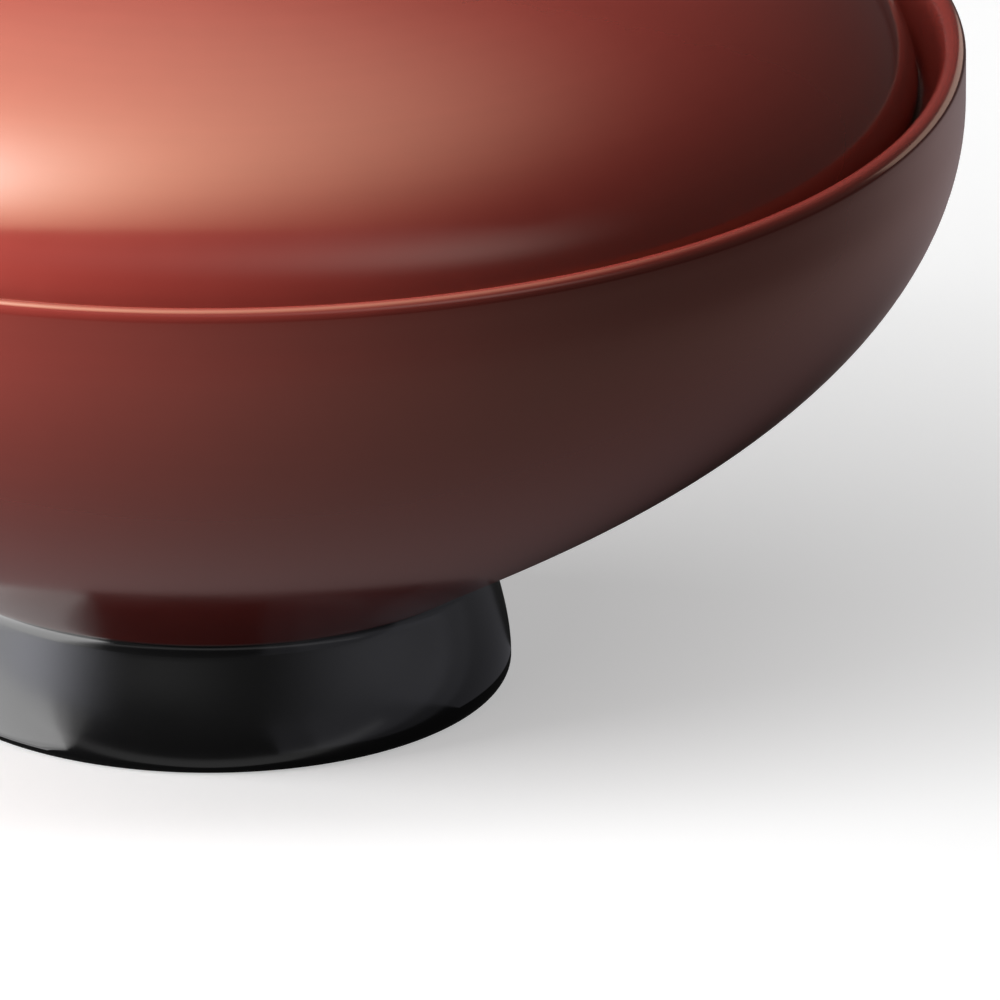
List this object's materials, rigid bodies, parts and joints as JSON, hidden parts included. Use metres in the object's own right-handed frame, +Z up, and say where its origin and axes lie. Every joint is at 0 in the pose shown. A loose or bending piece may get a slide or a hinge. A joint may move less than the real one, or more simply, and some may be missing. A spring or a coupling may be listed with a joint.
{
  "type": "lidded lacquer soup bowl",
  "caption": "Wide turned bowl on a short flared foot ring, with a domed lid that sits down inside the rim and lifts off by a ring on its top.",
  "frame": {"origin": "centre of the flat edge of the foot ring that the bowl stands on", "axes": "+Z up, along the axis that every piece is turned about; X and Y lie across it and are interchangeable"},
  "size_m": [0.13, 0.13, 0.08],
  "materials": {
    "red_lacquer": "satin-gloss brownish red lacquer over turned wood",
    "black_lacquer": "gloss black lacquer over turned wood"
  },
  "bodies": {
    "bowl": {"bowl_body": "red_lacquer", "foot_ring": "black_lacquer"},
    "lid": {"lid_shell": "red_lacquer", "lid_ring": "black_lacquer"}
  },
  "joints": [
    {"name": "lid_lift", "type": "slide", "parent": "bowl", "child": "lid", "axis": [0, 0, 1], "range_m": [0, 0.06]}
  ]
}
